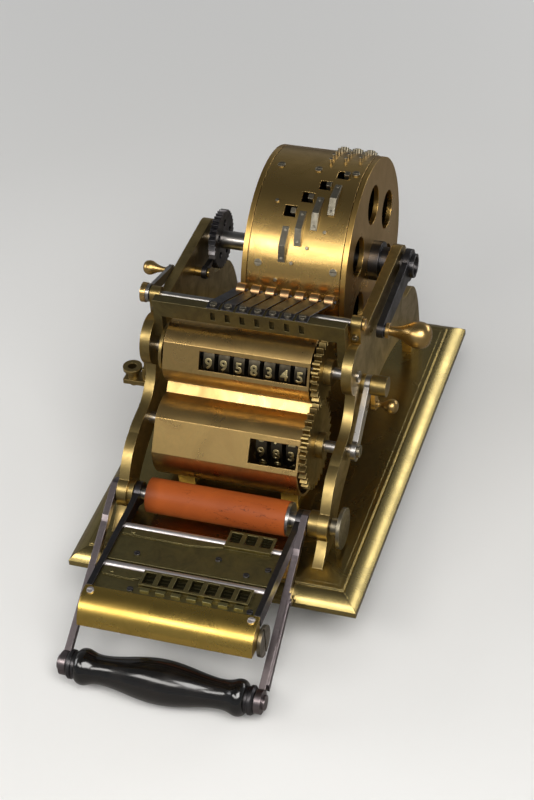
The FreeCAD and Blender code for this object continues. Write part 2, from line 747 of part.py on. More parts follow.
end_ring = tube_x(-64.6, -62.6, upper_y, upper_z, 17.0, register_shaft_r)
put("upper_gear", group([gear(upper_y, upper_z, upper_teeth, centre_deg), end_ring]))
put("lower_gear", gear(lower_y, lower_z, lower_teeth, centre_deg + 180 + 180 / lower_teeth))
put("upper_shaft", rod_x(plate_left_outer - 1.5, plate_right_outer + 1.5, upper_y, upper_z, register_shaft_r))
put("lower_shaft", rod_x(plate_left_outer - 1.5, plate_right_outer + 1.5, lower_y, lower_z, register_shaft_r))


# Impression roller with its shaft, steel journal and thumb disc
put("roller_rubber", tube_x(roller_left, roller_right, pivot_y, pivot_z, roller_r, pivot_r))
roller_shaft = rod_x(arm_left_x - 1.6, plate_right_outer + 6.6, pivot_y, pivot_z, pivot_r)
journal = tube_x(roller_right + roller_cap_l, inner_right_x - side_gap, pivot_y, pivot_z, 5.6, pivot_r)
end_cap = tube_x(roller_right, roller_right + roller_cap_l, pivot_y, pivot_z, roller_r - 0.4, pivot_r)
disc = rod_x(plate_right_outer + 6.6, plate_right_outer + 6.6 + thumb_t, pivot_y, pivot_z, thumb_r)
disc_hub = tube_x(plate_right_outer + side_gap, plate_right_outer + 6.6, pivot_y, pivot_z, 6.0, pivot_r)
put("roller_shaft", fuse([roller_shaft, journal, end_cap]))
put("thumb_disc", fuse([disc, disc_hub]))
pivot_bosses = [
    tube_x(plate_left_inner, inner_left_x - side_gap, pivot_y, pivot_z, boss_r, pivot_r + running_gap),
    tube_x(arm_right_x + arm_t + side_gap, plate_right_inner, pivot_y, pivot_z, boss_r,
           pivot_r + running_gap)]

# Outer arms, dropping from the pivot over the front moulding to the handle
arm_slope = (base_height - base_band) / moulding_width
arm_run = math.hypot(1, arm_slope)
lower_edge_front = base_band + arm_clear


def arm_low(y):
    return lower_edge_front + (y + base_length / 2) * arm_slope


def outer_arm(x0):
    rise = arm_h * arm_run
    back_y = pivot_y - 3.0
    step_y = pivot_y - 24.0
    bar = polygon_x([(back_y, arm_low(back_y)), (back_y, arm_low(back_y) + rise),
                     (step_y, arm_low(step_y) + rise), (step_y - 3, arm_low(step_y - 3) + rise - 1.5),
                     (handle_y, arm_low(handle_y) + rise - 1.5), (handle_y, arm_low(handle_y))],
                    x0, arm_t)
    eye = rod_x(x0, x0 + arm_t, pivot_y, pivot_z, arm_eye_r)
    end = rod_x(x0, x0 + arm_t, handle_y, handle_z, 8.0)
    arm = fuse([bar, eye, end])
    arm = arm.cut(rod_x(x0 - 1, x0 + arm_t + 1, pivot_y, pivot_z, pivot_r + running_gap))
    return arm.cut(rod_x(x0 - 1, x0 + arm_t + 1, handle_y, handle_z, handle_rod_r))


handle_rod = rod_x(arm_left_x - 2.0, arm_right_x + arm_t + 2.0, handle_y, handle_z, handle_rod_r)
nuts = []
for x0, x1 in ((arm_left_x - 2.0, arm_left_x), (arm_right_x + arm_t, arm_right_x + arm_t + 2.0)):
    nuts.append(tube_x(x0, x1, handle_y, handle_z, 5.0, handle_rod_r))
strap_y0 = handle_y + 9.0
strap_y1 = -153.0
strap_x = arm_right_x + arm_t
strap = polygon_x([(strap_y0, arm_low(strap_y0) - 1.5), (strap_y0, arm_low(strap_y0) + 4.5),
                   (strap_y1, arm_low(strap_y1) + 6.0), (strap_y1, arm_low(strap_y1) + 1.0)],
                  strap_x, 1.6)
strap_screw = screw(V(strap_x + 1.6, strap_y1 - 4.0, arm_low(strap_y1 - 4.0) + 3.6), X_AXIS, 2.4, 1.2)
put("outer_arms", group([fuse([outer_arm(arm_left_x), outer_arm(arm_right_x), handle_rod] + nuts),
                         strap, strap_screw]))
h0 = handle_left + ferrule_l
h1 = handle_right - ferrule_l
hl = h1 - h0
flare = ((h0, 9.4), (h0 + 2.5, 11.8), (h0 + 6.0, 12.2), (h0 + 11.0, 10.6), (h0 + 18.0, 9.8),
         (h0 + hl * 0.32, 12.6), (h0 + hl * 0.5, handle_r), (h0 + hl * 0.68, 12.6), (h1 - 18.0, 9.8),
         (h1 - 11.0, 10.6), (h1 - 6.0, 12.2), (h1 - 2.5, 11.8), (h1, 9.4))
grip = turned([flare], handle_y, handle_z)
grip = grip.cut(rod_x(h0 - 1, h1 + 1, handle_y, handle_z, handle_rod_r + running_gap))
put("handle_grip", grip)
ferrules = []
for x0, way in ((handle_left, 1), (handle_right, -1)):
    a = [(x0, 8.4), (x0 + way * 1.5, 9.8), (x0 + way * 3.5, 9.8), (x0 + way * 4.0, 8.8),
         (x0 + way * ferrule_l, 8.8)]
    ferrule = turned(a, handle_y, handle_z)
    ferrules.append(ferrule.cut(rod_x(min(x0, x0 + way * 7) - 1, max(x0, x0 + way * 7) + 1, handle_y,
                                      handle_z, handle_rod_r + running_gap)))
put("handle_ferrules", group(ferrules))


# Inner bars and the two rods between them
def inner_bar(x0):
    bar = polygon_x([(pivot_y, inner_bottom_z), (pivot_y, inner_top_z + 2.0), (pivot_y - 14, inner_top_z),
                     (inner_front_y, inner_top_z), (inner_front_y, inner_bottom_z)], x0, inner_t)
    bar = fuse([bar, rod_x(x0, x0 + inner_t, pivot_y, pivot_z, arm_eye_r)])
    return bar.cut(rod_x(x0 - 1, x0 + inner_t + 1, pivot_y, pivot_z, pivot_r + running_gap))


span_left = inner_left_x + inner_t
plate_top = type_plate_z + type_plate_t
rods = [rod_x(span_left, inner_right_x, y, frame_rod_z, frame_rod_r) for y in (back_rod_y, middle_rod_y)]


# Type plates: each pierced by a row of cells that hold the type blocks
def type_plate(back_y, front_y, xs, cell_y0, cell_y1):
    plate = box(span_left, inner_right_x, front_y, back_y, type_plate_z, plate_top)
    rim_front = min(cell_y0 - 1.6, back_y - 3.0)
    rim = box(xs[0] - digit_pitch / 2, xs[-1] + digit_pitch / 2, rim_front, cell_y1 + 1.6, plate_top,
              plate_top + cell_frame_t)
    if cell_y1 > back_y:
        rim = rim.cut(box(xs[0] - 20, xs[-1] + 20, back_y, cell_y1 + 10, type_plate_z, rod_cover_z))
    plate = fuse([plate, rim])
    for x in xs:
        plate = plate.cut(box(x - cell_w / 2, x + cell_w / 2, cell_y0, cell_y1, type_plate_z - 1,
                              plate_top + cell_frame_t + 1))
    return plate


def type_block(x, y0, y1, z0, z1):
    """A block of type in its cell, grooved across its face."""
    block = box(x - cell_w / 2 + 0.3, x + cell_w / 2 - 0.3, y0 + 0.3, y1 - 0.3, z0, z1)
    for k in range(3):
        y = y0 + 1.6 + k * (y1 - y0 - 1.6) / 3
        block = block.cut(box(x - cell_w, x + cell_w, y, y + 1.1, z1 - 0.7, z1 + 1))
    return block


short_xs = digit_xs[upper_digits - lower_digits:]
cells_a = (-138.2, -129.2)
cells_b = (-188.0, -177.8)
small_block_back_y = -190.4
small_block_depth = 3.0
blocks = [type_block(x, *cells_a, rod_cover_z + 0.1, plate_top + 1.9) for x in short_xs]
for x in digit_xs:
    blocks.append(type_block(x, *cells_b, type_plate_z, plate_top + 0.8))
    blocks.append(box(x - 3.0, x + 3.0, small_block_back_y - small_block_depth, small_block_back_y,
                      plate_top, plate_top + 1.6))
put("type_blocks", group(blocks))


def leaf_strip(outline, screw_x, screw_y):
    """A thin leaf lying on a type plate, with a small boss on it."""
    corners = [V(x, y, plate_top) for x, y in outline]
    sheet = Part.Face(Part.makePolygon(corners + corners[:1])).extrude(V(0, 0, 1.0))
    boss = Part.makeCylinder(1.6, 0.5, V(screw_x, screw_y, plate_top + 1.0), Z_AXIS)
    return fuse([sheet, boss])


leaf_left_x = -61.0
leaf_a_right_x = 8.5
leaf_a_back_y = -139.8
leaf_b_right_x = -34.0
leaf_b_back_y = -177.0
strips = [leaf_strip([(leaf_left_x, leaf_a_back_y), (leaf_a_right_x, leaf_a_back_y),
                      (leaf_a_right_x, leaf_a_back_y - 2.8), (leaf_a_right_x - 22.5, leaf_a_back_y - 6.2),
                      (leaf_left_x, leaf_a_back_y - 5.6)], leaf_left_x + 7.0, leaf_a_back_y - 2.8),
          leaf_strip([(leaf_left_x, leaf_b_back_y), (leaf_b_right_x, leaf_b_back_y),
                      (leaf_b_right_x, leaf_b_back_y - 5.0), (leaf_b_right_x - 6.0, leaf_b_back_y - 7.6),
                      (leaf_left_x, leaf_b_back_y - 6.6)], leaf_left_x + 6.0, leaf_b_back_y - 3.4)]
put("type_plates", group([type_plate(plate_a_back_y, plate_a_front_y, short_xs, *cells_a),
                          type_plate(plate_b_back_y, plate_b_front_y, digit_xs, *cells_b)] + strips))
plate_screws = []
plate_screw_xy = ((-45.0, -161.0), (8.7, -153.5), (30.6, -163.0), (43.0, -155.0), (-38.0, -193.0),
                  (43.0, -193.6))
for x, y in plate_screw_xy:
    plate_screws.append(screw(V(x, y, plate_top), Z_AXIS, 2.1, 1.2))

# Rounded front cover with end cheeks, and the key disc on its right end
cover = sector_x(front_left, front_right, front_y, front_z, front_r - front_wall, front_r, 90, front_span_deg)
lip = box(front_left, front_right, front_y, inner_front_y, front_z + front_r - front_wall, front_z + front_r)
cheeks = []
for x0 in (front_left, front_right - 2.0):
    cheek = sector_x(x0, x0 + 2.0, front_y, front_z, 1.0, front_r - front_wall, 90, front_span_deg)
    cheek = fuse([cheek, rod_x(x0, x0 + 2.0, front_y, front_z, 7.0)])
    cheeks.append(cheek.cut(rod_x(x0 - 1, x0 + 3, front_y, front_z, 3.0 + running_gap)))
put("front_cover", fuse([cover, lip] + cheeks))
cover_screws = []
for x, deg in ((-62.0, 97.0), (46.5, 97.0)):
    head = screw(V(x, front_y, front_z + front_r), Z_AXIS, 2.4, 1.0)
    head.rotate(V(0, front_y, front_z), X_AXIS, deg - 90)
    cover_screws.append(head)
put("frame_rods", group(rods + cover_screws))
put("inner_bars", group([inner_bar(inner_left_x), inner_bar(inner_right_x)] + plate_screws))
disc_x = front_right + 0.3
key_disc = rod_x(disc_x, disc_x + disc_t, front_y, front_z, disc_r)
key_disc = key_disc.cut(box(disc_x + disc_t - 1.2, disc_x + disc_t + 1, front_y - 1.0, front_y + 1.0,
                            front_z - disc_r, front_z + disc_r))
put("key_disc", fuse([key_disc, rod_x(front_left - 2.0, disc_x, front_y, front_z, 3.0)]))


# Right side: guide stud, steel link and the ball knob on its stem
stud_y = -19.0
stud_z = 84.0
link_x = plate_right_outer + 2.2
link_t = 3.6
stud_len = plate_right_outer + 17.0
guide_stud = fuse([rod_x(plate_right_outer, link_x, stud_y, stud_z, 7.0),
                        rod_x(link_x, link_x + link_t + 0.4, stud_y, stud_z, 4.0),
                        rod_x(link_x + link_t + 0.4, stud_len, stud_y, stud_z, 7.0)])
link_edges = [(lower_y, lower_z - 5.0), (lower_y - 3.6, lower_z + 3.2), (stud_y - 3.4, stud_z + 4.0),
              (stud_y + 2.8, stud_z - 4.4)]
link = fuse([polygon_x(link_edges, link_x, link_t),
             rod_x(link_x, link_x + link_t, lower_y, lower_z, 7.0),
             rod_x(link_x, link_x + link_t, stud_y, stud_z, 6.4)])
link = link.cut(rod_x(link_x - 1, link_x + link_t + 1, stud_y, stud_z, 4.0 + running_gap))
link = link.cut(rod_x(link_x - 1, link_x + link_t + 1, lower_y, lower_z, 2.6))
put("steel_link", link)
frame_screws.append(screw(V(link_x + link_t, lower_y, lower_z), X_AXIS, 4.4, 2.0))
ball_y = 0.0
ball_z = 51.0
trip_z = 68.0
trip_x = plate_right_outer + side_gap
trip_t = 3.0
trip_pin = fuse([rod_x(plate_right_outer, trip_x + trip_t + 0.4, ball_y, trip_z, 2.5),
                 rod_x(trip_x + trip_t + 0.4, trip_x + trip_t + 2.0, ball_y, trip_z, 4.2)])
trip = fuse([rod_x(trip_x, trip_x + trip_t, ball_y, trip_z, 5.5),
             rod_x(trip_x, trip_x + trip_t, ball_y, ball_z, 4.5),
             box(trip_x, trip_x + trip_t, ball_y - 4.0, ball_y + 4.0, ball_z, trip_z)])
trip = trip.cut(rod_x(trip_x - 1, trip_x + trip_t + 1, ball_y, trip_z, 2.5 + running_gap))
ball_x = trip_x + trip_t
ball = turned([(ball_x, 3.0), (ball_x + 1.2, 3.0),
               ((ball_x + 1.2, 2.0), (ball_x + 5.0, 2.4), (ball_x + 9.0, 4.9), (ball_x + 13.0, 4.6),
                (ball_x + 15.2, 1.6))], ball_y, ball_z)
put("trip_lever", fuse([trip, ball]))

# Oil cup on a bracket left of the left head
cup_x = -90.0
cup_y = -35.0
cup = [V(0, 0, 66), V(3.0, 0, 66), V(4.0, 0, 68), V(4.0, 0, 77.5), V(6.7, 0, 78.6), V(6.7, 0, 81),
       V(3.2, 0, 81), V(3.2, 0, 72), V(0, 0, 72), V(0, 0, 66)]
cup = Part.Face(Part.makePolygon(cup)).revolve(V(0, 0, 0), Z_AXIS, 360)
cup.translate(V(cup_x, cup_y, 0))
bracket = fuse([box(plate_left_outer - 2.0, plate_left_outer, cup_y - 3, cup_y + 3, 78.0, 92.0),
                box(plate_left_outer - 4.0, plate_left_outer - 2.0, cup_y - 3, cup_y + 3, 69.0, 82.0),
                box(cup_x - 5.8, plate_left_outer - 2.0, cup_y - 5.5, cup_y + 5.5, 69.0, 72.5)])
bracket = bracket.cut(Part.makeCylinder(4.0, 20, V(cup_x, cup_y, 60), Z_AXIS))
put("oil_cup", group([cup, bracket]))

# Blocks, bosses and studs fixed to the side frames and the base
put("support_blocks", group(rod_ears + saddles + pivot_bosses + [pawl_stud, guide_stud, trip_pin]))
put("frame_screws", group(frame_screws))
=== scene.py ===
import json
import math

import bmesh
import bpy
from mathutils import Matrix, Vector


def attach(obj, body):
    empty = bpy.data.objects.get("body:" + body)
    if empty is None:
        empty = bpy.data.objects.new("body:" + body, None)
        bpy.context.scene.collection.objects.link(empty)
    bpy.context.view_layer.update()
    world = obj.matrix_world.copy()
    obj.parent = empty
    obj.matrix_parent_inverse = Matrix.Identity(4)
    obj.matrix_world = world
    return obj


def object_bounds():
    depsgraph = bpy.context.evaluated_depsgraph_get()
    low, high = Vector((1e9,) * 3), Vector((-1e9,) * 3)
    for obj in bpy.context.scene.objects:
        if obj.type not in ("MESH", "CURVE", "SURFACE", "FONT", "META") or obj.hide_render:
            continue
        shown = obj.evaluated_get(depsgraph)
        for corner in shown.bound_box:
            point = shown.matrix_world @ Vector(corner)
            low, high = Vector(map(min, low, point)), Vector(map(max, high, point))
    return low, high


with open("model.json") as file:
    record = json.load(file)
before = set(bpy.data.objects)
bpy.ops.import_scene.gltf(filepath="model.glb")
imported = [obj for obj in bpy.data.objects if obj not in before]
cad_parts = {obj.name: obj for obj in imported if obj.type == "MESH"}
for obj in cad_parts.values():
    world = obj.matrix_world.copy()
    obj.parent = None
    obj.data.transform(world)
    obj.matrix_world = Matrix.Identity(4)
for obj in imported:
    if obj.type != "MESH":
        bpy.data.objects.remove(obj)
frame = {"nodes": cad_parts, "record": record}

cad_low, cad_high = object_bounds()
nodes = frame["nodes"]
for selected in list(bpy.context.selected_objects):
    selected.select_set(False)

# Camera, fitted to the photograph
CAMERA_PLACE = Vector((0.3797, -1.0500, 0.9723))
CAMERA_AZIMUTH = math.radians(20.19)
CAMERA_ELEVATION = math.radians(39.85)
CAMERA_ROLL = math.radians(-4.13)
CAMERA_LENS = 93.456

# Places shared with the metal model, in metres
DRUM_AXIS = (0.084, 0.1095)
DRUM_INNER_RADIUS = 0.0712
# Lines along X through the two rows of type cells, as Y, Z and radius, with painted shade within it
CELL_ROWS = ((-0.1829, 0.0310, 0.0064), (-0.1337, 0.0310, 0.0064))
UPPER_AXIS = (-0.031, 0.0995)
LOWER_AXIS = (-0.0565, 0.0565)
WHEEL_RADIUS = 0.0182
WHEEL_PITCH = 0.0106
FIRST_WHEEL_X = -0.0283
UPPER_FIGURES = "9958345"
LOWER_FIGURES = "983"
LOWER_WHEELS_FROM = len(UPPER_FIGURES) - len(LOWER_FIGURES)
UPPER_WINDOW_DEG = 163.0
LOWER_WINDOW_DEG = 176.0


# How a rubbed edge and the painted shade in a recess differ from the metal round them
EDGE_BRIGHTER = 1.25
EDGE_LIFT = 0.03
SHADE_SHARE = 0.22

# The roller's darker left end, as X in metres, and its cracks
DARK_END_FROM = -0.044
DARK_END_FULL = -0.054
DARK_END_SHARE = 0.30
CRACK_SHARE = 0.20


# Shader groups used by several materials
def group_tree(name, inputs, outputs):
    tree = bpy.data.node_groups.new(name, "ShaderNodeTree")
    for label, kind, default in inputs:
        socket = tree.interface.new_socket(name=label, in_out="INPUT", socket_type=kind)
        if default is not None:
            socket.default_value = default
    for label, kind in outputs:
        tree.interface.new_socket(name=label, in_out="OUTPUT", socket_type=kind)
    return tree, tree.nodes.new("NodeGroupInput"), tree.nodes.new("NodeGroupOutput")


def build_mottle():
    """Large soft patches broken by fine specks, as handled metal tarnishes."""
    tree, entry, out = group_tree(
        "Mottle",
        [("Vector", "NodeSocketVector", None), ("Scale", "NodeSocketFloat", 40.0),
         ("Contrast", "NodeSocketFloat", 2.0)],
        [("Mask", "NodeSocketFloat")])
    link = tree.links.new
    broad = tree.nodes.new("ShaderNodeTexNoise")
    broad.inputs["Detail"].default_value = 8.0
    broad.inputs["Roughness"].default_value = 0.62
    broad.inputs["Distortion"].default_value = 0.6
    link(entry.outputs["Vector"], broad.inputs["Vector"])
    link(entry.outputs["Scale"], broad.inputs["Scale"])
    centre = tree.nodes.new("ShaderNodeMath")
    centre.operation = "SUBTRACT"
    centre.inputs[1].default_value = 0.5
    link(broad.outputs["Fac"], centre.inputs[0])
    gain = tree.nodes.new("ShaderNodeMath")
    gain.operation = "MULTIPLY_ADD"
    gain.inputs[2].default_value = 0.5
    gain.use_clamp = True
    link(centre.outputs[0], gain.inputs[0])
    link(entry.outputs["Contrast"], gain.inputs[1])
    link(gain.outputs[0], out.inputs["Mask"])
    return tree


def build_lines():
    """Fine parallel marks of a tool, drawn out along one direction."""
    tree, entry, out = group_tree(
        "ToolMarks",
        [("Vector", "NodeSocketVector", None), ("Stretch", "NodeSocketVector", (1.0, 1.0, 1.0)),
         ("Scale", "NodeSocketFloat", 900.0)],
        [("Height", "NodeSocketFloat")])
    link = tree.links.new
    stretch = tree.nodes.new("ShaderNodeVectorMath")
    stretch.operation = "MULTIPLY"
    link(entry.outputs["Vector"], stretch.inputs[0])
    link(entry.outputs["Stretch"], stretch.inputs[1])
    marks = tree.nodes.new("ShaderNodeTexNoise")
    marks.inputs["Detail"].default_value = 4.0
    marks.inputs["Roughness"].default_value = 0.7
    link(stretch.outputs[0], marks.inputs["Vector"])
    link(entry.outputs["Scale"], marks.inputs["Scale"])
    link(marks.outputs["Fac"], out.inputs["Height"])
    return tree


def build_edges():
    """Rounded normals at sharp edges, and a mask that is 1 where an edge is worn bright."""
    tree, entry, out = group_tree(
        "EdgeWear",
        [("Radius", "NodeSocketFloat", 0.0005)],
        [("Mask", "NodeSocketFloat"), ("Normal", "NodeSocketVector")])
    link = tree.links.new
    bevel = tree.nodes.new("ShaderNodeBevel")
    bevel.samples = 6
    link(entry.outputs["Radius"], bevel.inputs["Radius"])
    geometry = tree.nodes.new("ShaderNodeNewGeometry")
    dot = tree.nodes.new("ShaderNodeVectorMath")
    dot.operation = "DOT_PRODUCT"
    link(bevel.outputs["Normal"], dot.inputs[0])
    link(geometry.outputs["Normal"], dot.inputs[1])
    spread = tree.nodes.new("ShaderNodeMapRange")
    spread.inputs["From Min"].default_value = 0.995
    spread.inputs["From Max"].default_value = 0.88
    link(dot.outputs["Value"], spread.inputs["Value"])
    link(spread.outputs["Result"], out.inputs["Mask"])
    link(bevel.outputs["Normal"], out.inputs["Normal"])
    return tree


def build_corner_shade():
    """A mask of painted shade that rises in corners and recesses, from ambient occlusion broken up by
    noise.
    """
    tree, entry, out = group_tree(
        "CornerShade",
        [("Vector", "NodeSocketVector", None), ("Reach", "NodeSocketFloat", 0.004)],
        [("Mask", "NodeSocketFloat")])
    link = tree.links.new
    shade = tree.nodes.new("ShaderNodeAmbientOcclusion")
    shade.samples = 6
    shade.only_local = True
    link(entry.outputs["Reach"], shade.inputs["Distance"])
    breakup = tree.nodes.new("ShaderNodeTexNoise")
    breakup.inputs["Scale"].default_value = 420.0
    breakup.inputs["Detail"].default_value = 4.0
    link(entry.outputs["Vector"], breakup.inputs["Vector"])
    ragged = tree.nodes.new("ShaderNodeMath")
    ragged.operation = "MULTIPLY_ADD"
    ragged.inputs[1].default_value = 0.5
    link(breakup.outputs["Fac"], ragged.inputs[0])
    link(shade.outputs["AO"], ragged.inputs[2])
    spread = tree.nodes.new("ShaderNodeMapRange")
    spread.inputs["From Min"].default_value = 1.05
    spread.inputs["From Max"].default_value = 0.55
    link(ragged.outputs[0], spread.inputs["Value"])
    link(spread.outputs["Result"], out.inputs["Mask"])
    return tree


MOTTLE = build_mottle()
SHADE_GROUP = build_corner_shade()
LINES = build_lines()
EDGES = build_edges()


class Shader:
    """A material under construction, with short calls for its nodes and links."""

    def __init__(self, name):
        self.material = bpy.data.materials.new(name)
        self.material.use_nodes = True
        self.tree = self.material.node_tree
        self.tree.nodes.clear()
        self.out = self.node("ShaderNodeOutputMaterial")
        self.body = self.node("ShaderNodeBsdfPrincipled")
        self.link(self.body.outputs[0], self.out.inputs["Surface"])
        self.place = self.node("ShaderNodeTexCoord").outputs["Object"]

    def node(self, kind, **values):
        made = self.tree.nodes.new(kind)
        for key, value in values.items():
            setattr(made, key, value)
        return made

    def link(self, a, b):
        self.tree.links.new(a, b)

    def group(self, tree, **values):
        made = self.node("ShaderNodeGroup", node_tree=tree)
        for key, value in values.items():
            made.inputs[key].default_value = value
        if "Vector" in made.inputs:
            self.link(self.place, made.inputs["Vector"])
        return made

    def blend(self, mask, a, b):
        mix = self.node("ShaderNodeMix", data_type="RGBA")
        self.link(mask, mix.inputs["Factor"])
        for end, socket in ((a, mix.inputs[6]), (b, mix.inputs[7])):
            if isinstance(end, tuple):
                socket.default_value = (*end, 1.0)
            else:
                self.link(end, socket)
        return mix.outputs[2]

    def scaled(self, value, gain):
        node = self.node("ShaderNodeMath", operation="MULTIPLY")
        node.inputs[1].default_value = gain
        self.link(value, node.inputs[0])
        return node.outputs[0]

    def ramp(self, value, start, end):
        """0 where value is at start, rising to 1 at end."""
        node = self.node("ShaderNodeMapRange")
        node.inputs["From Min"].default_value = start
        node.inputs["From Max"].default_value = end
        self.link(value, node.inputs["Value"])
        return node.outputs["Result"]

    def inside(self, y, z, radius):
        """A mask that is 1 within radius of the line along X through (y, z)."""
        split = self.node("ShaderNodeSeparateXYZ")
        self.link(self.place, split.inputs[0])
        joined = self.node("ShaderNodeCombineXYZ")
        self.link(split.outputs["Y"], joined.inputs[1])
        self.link(split.outputs["Z"], joined.inputs[2])
        joined.inputs[0].default_value = 0.0
        away = self.node("ShaderNodeVectorMath", operation="DISTANCE")
        self.link(joined.outputs[0], away.inputs[0])
        away.inputs[1].default_value = (0.0, y, z)
        return self.ramp(away.outputs["Value"], radius + 0.0002, radius - 0.0002)

    def spread(self, value, low, high):
        node = self.node("ShaderNodeMapRange")
        node.inputs["To Min"].default_value = low
        node.inputs["To Max"].default_value = high
        self.link(value, node.inputs["Value"])
        return node.outputs["Result"]


def metal(name, bright, dull, rough, patch=45.0, contrast=2.2, marks=(1.0, 1.0, 1.0), mark_scale=900.0,
          bump=0.00002, edge=0.0005, edge_gain=0.6, shade_strength=0.7, reach=0.004, shaded_hollows=()):
    """A worn metal: bright and dull patches, tool marks, rubbed edges, and painted shade in corners and
    along given recess lines.
    """
    shader = Shader(name)
    stain = shader.group(MOTTLE, Scale=patch, Contrast=contrast)
    lines = shader.group(LINES, Stretch=marks, Scale=mark_scale)
    edges = shader.group(EDGES, Radius=edge)
    corner_shade = shader.group(SHADE_GROUP, Reach=reach)
    colour = shader.blend(stain.outputs["Mask"], bright, dull)
    lifted = tuple(min(1.0, part * EDGE_BRIGHTER + EDGE_LIFT) for part in bright)
    colour = shader.blend(shader.scaled(edges.outputs["Mask"], edge_gain), colour, lifted)
    # Painted shade: the dull colour darkened, laid into corners and recesses by the occlusion mask
    painted_shade = tuple(part * SHADE_SHARE for part in dull)
    colour = shader.blend(shader.scaled(corner_shade.outputs["Mask"], shade_strength), colour, painted_shade)
    # Painted shade within each given line along X
    for shaded_hollow in shaded_hollows:
        colour = shader.blend(shader.inside(*shaded_hollow), colour, painted_shade)
    shader.link(colour, shader.body.inputs["Base Color"])
    shader.link(shader.spread(stain.outputs["Mask"], *rough), shader.body.inputs["Roughness"])
    shader.body.inputs["Metallic"].default_value = 1.0
    relief = shader.node("ShaderNodeBump")
    relief.inputs["Strength"].default_value = 0.6
    relief.inputs["Distance"].default_value = bump
    shader.link(lines.outputs["Height"], relief.inputs["Height"])
    shader.link(edges.outputs["Normal"], relief.inputs["Normal"])
    shader.link(relief.outputs["Normal"], shader.body.inputs["Normal"])
    return shader.material


def rubber(name, fresh, stained):
    """Old roller rubber: matte orange, darker at its left end, with a few long cracks."""
    shader = Shader(name)
    stain = shader.group(MOTTLE, Scale=26.0, Contrast=1.4)
    grain = shader.group(LINES, Scale=1500.0)
    course = shader.group(LINES, Stretch=(0.22, 1.0, 1.0), Scale=95.0)
    away = shader.node("ShaderNodeMath", operation="SUBTRACT")
    away.inputs[1].default_value = 0.5
    shader.link(course.outputs["Height"], away.inputs[0])
    width = shader.node("ShaderNodeMath", operation="ABSOLUTE")
    shader.link(away.outputs[0], width.inputs[0])
    thin = shader.ramp(width.outputs[0], 0.006, 0.001)
    few = shader.group(MOTTLE, Scale=34.0, Contrast=9.0)
    crack = shader.node("ShaderNodeMath", operation="MULTIPLY")
    shader.link(thin, crack.inputs[0])
    shader.link(few.outputs["Mask"], crack.inputs[1])
    colour = shader.blend(stain.outputs["Mask"], fresh, stained)
    split = shader.node("ShaderNodeSeparateXYZ")
    shader.link(shader.place, split.inputs[0])
    ragged = shader.node("ShaderNodeMath", operation="MULTIPLY_ADD")
    ragged.inputs[1].default_value = 0.012
    shader.link(stain.outputs["Mask"], ragged.inputs[0])
    shader.link(split.outputs["X"], ragged.inputs[2])
    # Darker towards the roller's left end
    dark_end_colour = tuple(part * DARK_END_SHARE for part in stained)
    crack_colour = tuple(part * CRACK_SHARE for part in stained)
    dark_end_mask = shader.scaled(shader.ramp(ragged.outputs[0], DARK_END_FROM, DARK_END_FULL), 0.75)
    colour = shader.blend(dark_end_mask, colour, dark_end_colour)
    colour = shader.blend(shader.scaled(crack.outputs[0], 0.85), colour, crack_colour)
    shader.link(colour, shader.body.inputs["Base Color"])
    shader.link(shader.spread(stain.outputs["Mask"], 0.42, 0.60), shader.body.inputs["Roughness"])
    shader.body.inputs["Specular IOR Level"].default_value = 0.22
    relief = shader.node("ShaderNodeBump")
    relief.inputs["Strength"].default_value = 0.5
    relief.inputs["Distance"].default_value = 0.00004
    shader.link(grain.outputs["Height"], relief.inputs["Height"])
    shader.link(relief.outputs["Normal"], shader.body.inputs["Normal"])
    return shader.material


def lacquered_wood(name, colour, worn):
    """Black turned wood under an old polish, brown where hands have thinned it."""
    shader = Shader(name)
    stain = shader.group(MOTTLE, Scale=55.0, Contrast=3.0)
    grain = shader.group(LINES, Stretch=(0.08, 1.0, 1.0), Scale=700.0)
    shader.link(shader.blend(stain.outputs["Mask"], colour, worn), shader.body.inputs["Base Color"])
    shader.link(shader.spread(stain.outputs["Mask"], 0.14, 0.26), shader.body.inputs["Roughness"])
    shader.body.inputs["Coat Weight"].default_value = 0.8
    shader.body.inputs["Coat Roughness"].default_value = 0.07
    relief = shader.node("ShaderNodeBump")
    relief.inputs["Strength"].default_value = 0.35
    relief.inputs["Distance"].default_value = 0.0001
    shader.link(grain.outputs["Height"], relief.inputs["Height"])
    shader.link(relief.outputs["Normal"], shader.body.inputs["Normal"])
    return shader.material


